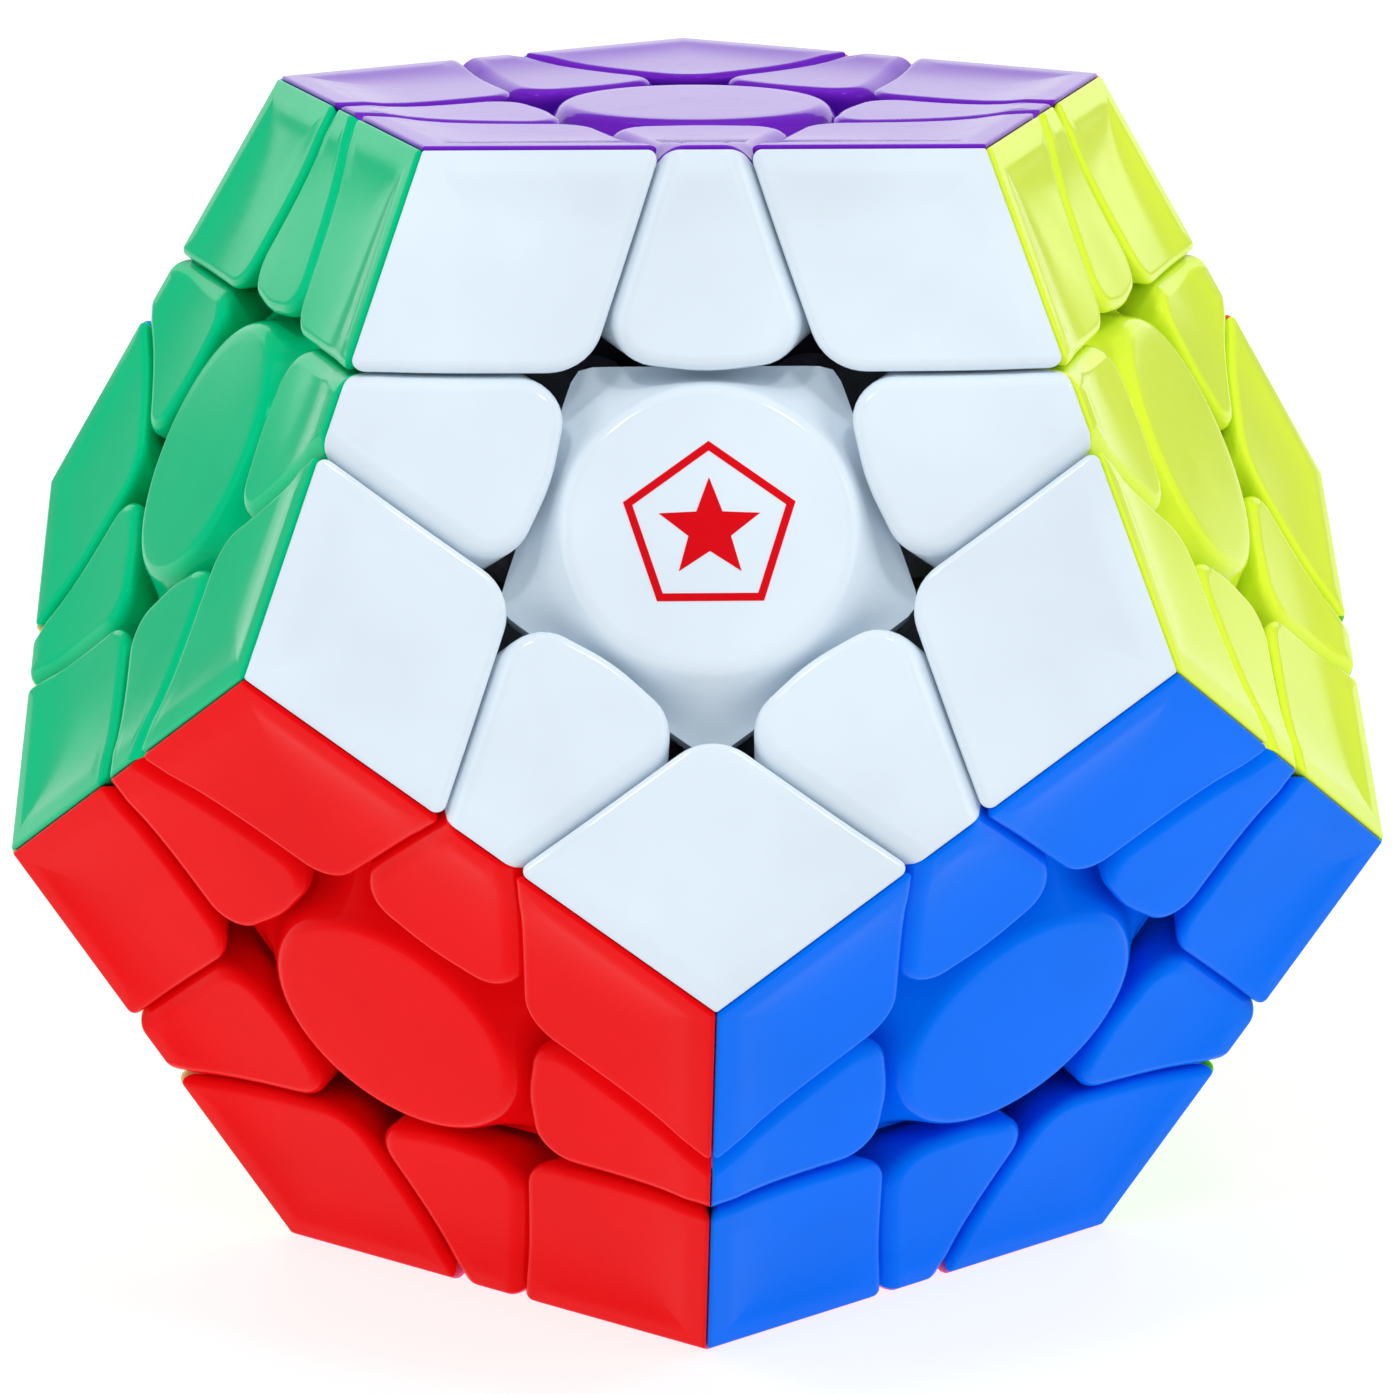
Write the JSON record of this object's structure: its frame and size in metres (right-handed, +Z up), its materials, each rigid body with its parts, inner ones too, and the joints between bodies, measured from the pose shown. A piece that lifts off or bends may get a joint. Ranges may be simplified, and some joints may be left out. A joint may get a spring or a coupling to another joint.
{
  "type": "dodecahedron twisty puzzle",
  "caption": "Dodecahedral twisty puzzle of coloured plastic: each face's layer of centre, edge and corner pieces turns about a sprung core.",
  "frame": {"origin": "the middle of the core, where all twelve turning axes meet; the puzzle's box is centred there", "axes": "+Z up through the purple face, -Y towards the white face at the front, +X to the right; the puzzle stands on its pink face"},
  "size_m": [0.0764, 0.0802, 0.065],
  "materials": {
    "core_white": "moulded nylon, slightly off white",
    "steel": "zinc-plated screws",
    "spring_steel": "spring steel",
    "inner_plastic": "light grey moulded plastic of stems, feet and centre bases",
    "plastic_purple": "purple moulded ABS with a polished, slightly waxy gloss",
    "plastic_white": "white moulded ABS with a polished, slightly waxy gloss",
    "plastic_yellow": "yellow moulded ABS with a polished, slightly waxy gloss",
    "plastic_orange": "orange moulded ABS with a polished, slightly waxy gloss",
    "plastic_cyan": "cyan moulded ABS with a polished, slightly waxy gloss",
    "plastic_green": "green moulded ABS with a polished, slightly waxy gloss",
    "plastic_blue": "blue moulded ABS with a polished, slightly waxy gloss",
    "plastic_lime": "lime moulded ABS with a polished, slightly waxy gloss",
    "plastic_grey": "grey moulded ABS with a polished, slightly waxy gloss",
    "plastic_cream": "cream moulded ABS with a polished, slightly waxy gloss",
    "plastic_red": "red moulded ABS with a polished, slightly waxy gloss",
    "plastic_pink": "pink moulded ABS with a polished, slightly waxy gloss"
  },
  "bodies": {
    "core": {"core": "core_white", "screws": "steel", "springs": "spring_steel", "centre_pink": "plastic_pink"},
    "centre_purple": {"centre_purple": "plastic_purple"},
    "centre_white": {"centre_white": "plastic_white"},
    "centre_yellow": {"centre_yellow": "plastic_yellow"},
    "centre_orange": {"centre_orange": "plastic_orange"},
    "centre_cyan": {"centre_cyan": "plastic_cyan"},
    "centre_green": {"centre_green": "plastic_green"},
    "centre_blue": {"centre_blue": "plastic_blue", "edge_blue_pink": "plastic_blue"},
    "centre_lime": {"centre_lime": "plastic_lime", "edge_lime_pink": "plastic_lime"},
    "centre_grey": {"centre_grey": "plastic_grey", "edge_grey_pink": "plastic_grey"},
    "centre_cream": {"centre_cream": "plastic_cream", "edge_cream_pink": "plastic_cream"},
    "centre_red": {"centre_red": "plastic_red", "edge_red_pink": "plastic_red"},
    "edge_purple_white": {"edge_purple_white": "plastic_purple"},
    "edge_purple_yellow": {"edge_purple_yellow": "plastic_purple"},
    "edge_purple_orange": {"edge_purple_orange": "plastic_purple"},
    "edge_purple_cyan": {"edge_purple_cyan": "plastic_purple"},
    "edge_purple_green": {"edge_purple_green": "plastic_purple"},
    "edge_white_yellow": {"edge_white_yellow": "plastic_white"},
    "edge_white_green": {"edge_white_green": "plastic_white"},
    "edge_white_blue": {"edge_white_blue": "plastic_white"},
    "edge_white_red": {"edge_white_red": "plastic_white"},
    "edge_yellow_orange": {"edge_yellow_orange": "plastic_yellow"},
    "edge_yellow_blue": {"edge_yellow_blue": "plastic_yellow"},
    "edge_yellow_lime": {"edge_yellow_lime": "plastic_yellow"},
    "edge_orange_cyan": {"edge_orange_cyan": "plastic_orange"},
    "edge_orange_lime": {"edge_orange_lime": "plastic_orange"},
    "edge_orange_grey": {"edge_orange_grey": "plastic_orange"},
    "edge_cyan_green": {"edge_cyan_green": "plastic_cyan"},
    "edge_cyan_grey": {"edge_cyan_grey": "plastic_cyan"},
    "edge_cyan_cream": {"edge_cyan_cream": "plastic_cyan"},
    "edge_green_cream": {"edge_green_cream": "plastic_green"},
    "edge_green_red": {"edge_green_red": "plastic_green"},
    "pair_blue_lime_pink": {"pair_blue_lime_pink": "plastic_blue"},
    "pair_blue_red_pink": {"pair_blue_red_pink": "plastic_blue"},
    "pair_lime_grey_pink": {"pair_lime_grey_pink": "plastic_lime"},
    "pair_grey_cream_pink": {"pair_grey_cream_pink": "plastic_grey"},
    "pair_cream_red_pink": {"pair_cream_red_pink": "plastic_cream"},
    "corner_purple_white_yellow": {"corner_purple_white_yellow": "plastic_purple"},
    "corner_purple_white_green": {"corner_purple_white_green": "plastic_purple"},
    "corner_purple_yellow_orange": {"corner_purple_yellow_orange": "plastic_purple"},
    "corner_purple_orange_cyan": {"corner_purple_orange_cyan": "plastic_purple"},
    "corner_purple_cyan_green": {"corner_purple_cyan_green": "plastic_purple"},
    "corner_white_yellow_blue": {"corner_white_yellow_blue": "plastic_white"},
    "corner_white_green_red": {"corner_white_green_red": "plastic_white"},
    "corner_white_blue_red": {"corner_white_blue_red": "plastic_white"},
    "corner_yellow_orange_lime": {"corner_yellow_orange_lime": "plastic_yellow"},
    "corner_yellow_blue_lime": {"corner_yellow_blue_lime": "plastic_yellow"},
    "corner_orange_cyan_grey": {"corner_orange_cyan_grey": "plastic_orange"},
    "corner_orange_lime_grey": {"corner_orange_lime_grey": "plastic_orange"},
    "corner_cyan_green_cream": {"corner_cyan_green_cream": "plastic_cyan"},
    "corner_cyan_grey_cream": {"corner_cyan_grey_cream": "plastic_cyan"},
    "corner_green_cream_red": {"corner_green_cream_red": "plastic_green"}
  },
  "joints": [
    {"name": "turn_purple", "type": "hinge", "parent": "core", "child": "centre_purple", "pos_m": [0, 0, 0], "axis": [0, 0, 1], "range_deg": [-72, 144]},
    {"name": "turn_white", "type": "hinge", "parent": "core", "child": "centre_white", "pos_m": [0, 0, 0], "axis": [0, -0.8944, 0.4472], "range_deg": [-72, 144]},
    {"name": "turn_yellow", "type": "hinge", "parent": "core", "child": "centre_yellow", "pos_m": [0, 0, 0], "axis": [0.8507, -0.2764, 0.4472], "range_deg": [-72, 144]},
    {"name": "turn_orange", "type": "hinge", "parent": "core", "child": "centre_orange", "pos_m": [0, 0, 0], "axis": [0.5257, 0.7236, 0.4472], "range_deg": [-72, 144]},
    {"name": "turn_cyan", "type": "hinge", "parent": "core", "child": "centre_cyan", "pos_m": [0, 0, 0], "axis": [-0.5257, 0.7236, 0.4472], "range_deg": [-72, 144]},
    {"name": "turn_green", "type": "hinge", "parent": "core", "child": "centre_green", "pos_m": [0, 0, 0], "axis": [-0.8507, -0.2764, 0.4472], "range_deg": [-72, 144]},
    {"name": "turn_blue", "type": "hinge", "parent": "core", "child": "centre_blue", "pos_m": [0, 0, 0], "axis": [0.5257, -0.7236, -0.4472], "range_deg": [-72, 144]},
    {"name": "turn_lime", "type": "hinge", "parent": "core", "child": "centre_lime", "pos_m": [0, 0, 0], "axis": [0.8507, 0.2764, -0.4472], "range_deg": [-72, 144]},
    {"name": "turn_grey", "type": "hinge", "parent": "core", "child": "centre_grey", "pos_m": [0, 0, 0], "axis": [0, 0.8944, -0.4472], "range_deg": [-72, 144]},
    {"name": "turn_cream", "type": "hinge", "parent": "core", "child": "centre_cream", "pos_m": [0, 0, 0], "axis": [-0.8507, 0.2764, -0.4472], "range_deg": [-72, 144]},
    {"name": "turn_red", "type": "hinge", "parent": "core", "child": "centre_red", "pos_m": [0, 0, 0], "axis": [-0.5257, -0.7236, -0.4472], "range_deg": [-72, 144]},
    {"name": "edge_purple_white_with_purple", "type": "hinge", "parent": "centre_white", "child": "edge_purple_white", "pos_m": [0, 0, 0], "axis": [0, 0, 1], "range_deg": [-72, 144]},
    {"name": "edge_purple_yellow_with_purple", "type": "hinge", "parent": "centre_yellow", "child": "edge_purple_yellow", "pos_m": [0, 0, 0], "axis": [0, 0, 1], "range_deg": [-72, 144]},
    {"name": "edge_purple_orange_with_purple", "type": "hinge", "parent": "centre_orange", "child": "edge_purple_orange", "pos_m": [0, 0, 0], "axis": [0, 0, 1], "range_deg": [-72, 144]},
    {"name": "edge_purple_cyan_with_purple", "type": "hinge", "parent": "centre_cyan", "child": "edge_purple_cyan", "pos_m": [0, 0, 0], "axis": [0, 0, 1], "range_deg": [-72, 144]},
    {"name": "edge_purple_green_with_purple", "type": "hinge", "parent": "centre_green", "child": "edge_purple_green", "pos_m": [0, 0, 0], "axis": [0, 0, 1], "range_deg": [-72, 144]},
    {"name": "edge_white_yellow_with_yellow", "type": "hinge", "parent": "centre_white", "child": "edge_white_yellow", "pos_m": [0, 0, 0], "axis": [0.8507, -0.2764, 0.4472], "range_deg": [-72, 144]},
    {"name": "edge_white_green_with_white", "type": "hinge", "parent": "centre_green", "child": "edge_white_green", "pos_m": [0, 0, 0], "axis": [0, -0.8944, 0.4472], "range_deg": [-72, 144]},
    {"name": "edge_white_blue_with_white", "type": "hinge", "parent": "centre_blue", "child": "edge_white_blue", "pos_m": [0, 0, 0], "axis": [0, -0.8944, 0.4472], "range_deg": [-72, 144]},
    {"name": "edge_white_red_with_white", "type": "hinge", "parent": "centre_red", "child": "edge_white_red", "pos_m": [0, 0, 0], "axis": [0, -0.8944, 0.4472], "range_deg": [-72, 144]},
    {"name": "edge_yellow_orange_with_orange", "type": "hinge", "parent": "centre_yellow", "child": "edge_yellow_orange", "pos_m": [0, 0, 0], "axis": [0.5257, 0.7236, 0.4472], "range_deg": [-72, 144]},
    {"name": "edge_yellow_blue_with_yellow", "type": "hinge", "parent": "centre_blue", "child": "edge_yellow_blue", "pos_m": [0, 0, 0], "axis": [0.8507, -0.2764, 0.4472], "range_deg": [-72, 144]},
    {"name": "edge_yellow_lime_with_yellow", "type": "hinge", "parent": "centre_lime", "child": "edge_yellow_lime", "pos_m": [0, 0, 0], "axis": [0.8507, -0.2764, 0.4472], "range_deg": [-72, 144]},
    {"name": "edge_orange_cyan_with_cyan", "type": "hinge", "parent": "centre_orange", "child": "edge_orange_cyan", "pos_m": [0, 0, 0], "axis": [-0.5257, 0.7236, 0.4472], "range_deg": [-72, 144]},
    {"name": "edge_orange_lime_with_orange", "type": "hinge", "parent": "centre_lime", "child": "edge_orange_lime", "pos_m": [0, 0, 0], "axis": [0.5257, 0.7236, 0.4472], "range_deg": [-72, 144]},
    {"name": "edge_orange_grey_with_orange", "type": "hinge", "parent": "centre_grey", "child": "edge_orange_grey", "pos_m": [0, 0, 0], "axis": [0.5257, 0.7236, 0.4472], "range_deg": [-72, 144]},
    {"name": "edge_cyan_green_with_green", "type": "hinge", "parent": "centre_cyan", "child": "edge_cyan_green", "pos_m": [0, 0, 0], "axis": [-0.8507, -0.2764, 0.4472], "range_deg": [-72, 144]},
    {"name": "edge_cyan_grey_with_cyan", "type": "hinge", "parent": "centre_grey", "child": "edge_cyan_grey", "pos_m": [0, 0, 0], "axis": [-0.5257, 0.7236, 0.4472], "range_deg": [-72, 144]},
    {"name": "edge_cyan_cream_with_cyan", "type": "hinge", "parent": "centre_cream", "child": "edge_cyan_cream", "pos_m": [0, 0, 0], "axis": [-0.5257, 0.7236, 0.4472], "range_deg": [-72, 144]},
    {"name": "edge_green_cream_with_green", "type": "hinge", "parent": "centre_cream", "child": "edge_green_cream", "pos_m": [0, 0, 0], "axis": [-0.8507, -0.2764, 0.4472], "range_deg": [-72, 144]},
    {"name": "edge_green_red_with_green", "type": "hinge", "parent": "centre_red", "child": "edge_green_red", "pos_m": [0, 0, 0], "axis": [-0.8507, -0.2764, 0.4472], "range_deg": [-72, 144]},
    {"name": "pair_blue_lime_pink_with_lime", "type": "hinge", "parent": "centre_blue", "child": "pair_blue_lime_pink", "pos_m": [0, 0, 0], "axis": [0.8507, 0.2764, -0.4472], "range_deg": [-72, 144]},
    {"name": "pair_blue_red_pink_with_blue", "type": "hinge", "parent": "centre_red", "child": "pair_blue_red_pink", "pos_m": [0, 0, 0], "axis": [0.5257, -0.7236, -0.4472], "range_deg": [-72, 144]},
    {"name": "pair_lime_grey_pink_with_grey", "type": "hinge", "parent": "centre_lime", "child": "pair_lime_grey_pink", "pos_m": [0, 0, 0], "axis": [0, 0.8944, -0.4472], "range_deg": [-72, 144]},
    {"name": "pair_grey_cream_pink_with_cream", "type": "hinge", "parent": "centre_grey", "child": "pair_grey_cream_pink", "pos_m": [0, 0, 0], "axis": [-0.8507, 0.2764, -0.4472], "range_deg": [-72, 144]},
    {"name": "pair_cream_red_pink_with_red", "type": "hinge", "parent": "centre_cream", "child": "pair_cream_red_pink", "pos_m": [0, 0, 0], "axis": [-0.5257, -0.7236, -0.4472], "range_deg": [-72, 144]},
    {"name": "corner_purple_white_yellow_with_yellow", "type": "hinge", "parent": "edge_purple_white", "child": "corner_purple_white_yellow", "pos_m": [0, 0, 0], "axis": [0.8507, -0.2764, 0.4472], "range_deg": [-72, 144]},
    {"name": "corner_purple_white_green_with_white", "type": "hinge", "parent": "edge_purple_green", "child": "corner_purple_white_green", "pos_m": [0, 0, 0], "axis": [0, -0.8944, 0.4472], "range_deg": [-72, 144]},
    {"name": "corner_purple_yellow_orange_with_orange", "type": "hinge", "parent": "edge_purple_yellow", "child": "corner_purple_yellow_orange", "pos_m": [0, 0, 0], "axis": [0.5257, 0.7236, 0.4472], "range_deg": [-72, 144]},
    {"name": "corner_purple_orange_cyan_with_cyan", "type": "hinge", "parent": "edge_purple_orange", "child": "corner_purple_orange_cyan", "pos_m": [0, 0, 0], "axis": [-0.5257, 0.7236, 0.4472], "range_deg": [-72, 144]},
    {"name": "corner_purple_cyan_green_with_green", "type": "hinge", "parent": "edge_purple_cyan", "child": "corner_purple_cyan_green", "pos_m": [0, 0, 0], "axis": [-0.8507, -0.2764, 0.4472], "range_deg": [-72, 144]},
    {"name": "corner_white_yellow_blue_with_white", "type": "hinge", "parent": "edge_yellow_blue", "child": "corner_white_yellow_blue", "pos_m": [0, 0, 0], "axis": [0, -0.8944, 0.4472], "range_deg": [-72, 144]},
    {"name": "corner_white_green_red_with_green", "type": "hinge", "parent": "edge_white_red", "child": "corner_white_green_red", "pos_m": [0, 0, 0], "axis": [-0.8507, -0.2764, 0.4472], "range_deg": [-72, 144]},
    {"name": "corner_white_blue_red_with_white", "type": "hinge", "parent": "pair_blue_red_pink", "child": "corner_white_blue_red", "pos_m": [0, 0, 0], "axis": [0, -0.8944, 0.4472], "range_deg": [-72, 144]},
    {"name": "corner_yellow_orange_lime_with_yellow", "type": "hinge", "parent": "edge_orange_lime", "child": "corner_yellow_orange_lime", "pos_m": [0, 0, 0], "axis": [0.8507, -0.2764, 0.4472], "range_deg": [-72, 144]},
    {"name": "corner_yellow_blue_lime_with_yellow", "type": "hinge", "parent": "pair_blue_lime_pink", "child": "corner_yellow_blue_lime", "pos_m": [0, 0, 0], "axis": [0.8507, -0.2764, 0.4472], "range_deg": [-72, 144]},
    {"name": "corner_orange_cyan_grey_with_orange", "type": "hinge", "parent": "edge_cyan_grey", "child": "corner_orange_cyan_grey", "pos_m": [0, 0, 0], "axis": [0.5257, 0.7236, 0.4472], "range_deg": [-72, 144]},
    {"name": "corner_orange_lime_grey_with_orange", "type": "hinge", "parent": "pair_lime_grey_pink", "child": "corner_orange_lime_grey", "pos_m": [0, 0, 0], "axis": [0.5257, 0.7236, 0.4472], "range_deg": [-72, 144]},
    {"name": "corner_cyan_green_cream_with_cyan", "type": "hinge", "parent": "edge_green_cream", "child": "corner_cyan_green_cream", "pos_m": [0, 0, 0], "axis": [-0.5257, 0.7236, 0.4472], "range_deg": [-72, 144]},
    {"name": "corner_cyan_grey_cream_with_cyan", "type": "hinge", "parent": "pair_grey_cream_pink", "child": "corner_cyan_grey_cream", "pos_m": [0, 0, 0], "axis": [-0.5257, 0.7236, 0.4472], "range_deg": [-72, 144]},
    {"name": "corner_green_cream_red_with_green", "type": "hinge", "parent": "pair_cream_red_pink", "child": "corner_green_cream_red", "pos_m": [0, 0, 0], "axis": [-0.8507, -0.2764, 0.4472], "range_deg": [-72, 144]}
  ],
  "couplings": [
    {"joint": "edge_purple_white_with_purple", "follows": "turn_purple", "ratio": 1},
    {"joint": "edge_purple_yellow_with_purple", "follows": "turn_purple", "ratio": 1},
    {"joint": "edge_purple_orange_with_purple", "follows": "turn_purple", "ratio": 1},
    {"joint": "edge_purple_cyan_with_purple", "follows": "turn_purple", "ratio": 1},
    {"joint": "edge_purple_green_with_purple", "follows": "turn_purple", "ratio": 1},
    {"joint": "edge_white_yellow_with_yellow", "follows": "turn_yellow", "ratio": 1},
    {"joint": "edge_white_green_with_white", "follows": "turn_white", "ratio": 1},
    {"joint": "edge_white_blue_with_white", "follows": "turn_white", "ratio": 1},
    {"joint": "edge_white_red_with_white", "follows": "turn_white", "ratio": 1},
    {"joint": "edge_yellow_orange_with_orange", "follows": "turn_orange", "ratio": 1},
    {"joint": "edge_yellow_blue_with_yellow", "follows": "turn_yellow", "ratio": 1},
    {"joint": "edge_yellow_lime_with_yellow", "follows": "turn_yellow", "ratio": 1},
    {"joint": "edge_orange_cyan_with_cyan", "follows": "turn_cyan", "ratio": 1},
    {"joint": "edge_orange_lime_with_orange", "follows": "turn_orange", "ratio": 1},
    {"joint": "edge_orange_grey_with_orange", "follows": "turn_orange", "ratio": 1},
    {"joint": "edge_cyan_green_with_green", "follows": "turn_green", "ratio": 1},
    {"joint": "edge_cyan_grey_with_cyan", "follows": "turn_cyan", "ratio": 1},
    {"joint": "edge_cyan_cream_with_cyan", "follows": "turn_cyan", "ratio": 1},
    {"joint": "edge_green_cream_with_green", "follows": "turn_green", "ratio": 1},
    {"joint": "edge_green_red_with_green", "follows": "turn_green", "ratio": 1},
    {"joint": "pair_blue_lime_pink_with_lime", "follows": "turn_lime", "ratio": 1},
    {"joint": "pair_blue_red_pink_with_blue", "follows": "turn_blue", "ratio": 1},
    {"joint": "pair_lime_grey_pink_with_grey", "follows": "turn_grey", "ratio": 1},
    {"joint": "pair_grey_cream_pink_with_cream", "follows": "turn_cream", "ratio": 1},
    {"joint": "pair_cream_red_pink_with_red", "follows": "turn_red", "ratio": 1},
    {"joint": "corner_purple_white_yellow_with_yellow", "follows": "turn_yellow", "ratio": 1},
    {"joint": "corner_purple_white_green_with_white", "follows": "turn_white", "ratio": 1},
    {"joint": "corner_purple_yellow_orange_with_orange", "follows": "turn_orange", "ratio": 1},
    {"joint": "corner_purple_orange_cyan_with_cyan", "follows": "turn_cyan", "ratio": 1},
    {"joint": "corner_purple_cyan_green_with_green", "follows": "turn_green", "ratio": 1},
    {"joint": "corner_white_yellow_blue_with_white", "follows": "turn_white", "ratio": 1},
    {"joint": "corner_white_green_red_with_green", "follows": "turn_green", "ratio": 1},
    {"joint": "corner_white_blue_red_with_white", "follows": "turn_white", "ratio": 1},
    {"joint": "corner_yellow_orange_lime_with_yellow", "follows": "turn_yellow", "ratio": 1},
    {"joint": "corner_yellow_blue_lime_with_yellow", "follows": "turn_yellow", "ratio": 1},
    {"joint": "corner_orange_cyan_grey_with_orange", "follows": "turn_orange", "ratio": 1},
    {"joint": "corner_orange_lime_grey_with_orange", "follows": "turn_orange", "ratio": 1},
    {"joint": "corner_cyan_green_cream_with_cyan", "follows": "turn_cyan", "ratio": 1},
    {"joint": "corner_cyan_grey_cream_with_cyan", "follows": "turn_cyan", "ratio": 1},
    {"joint": "corner_green_cream_red_with_green", "follows": "turn_green", "ratio": 1}
  ]
}
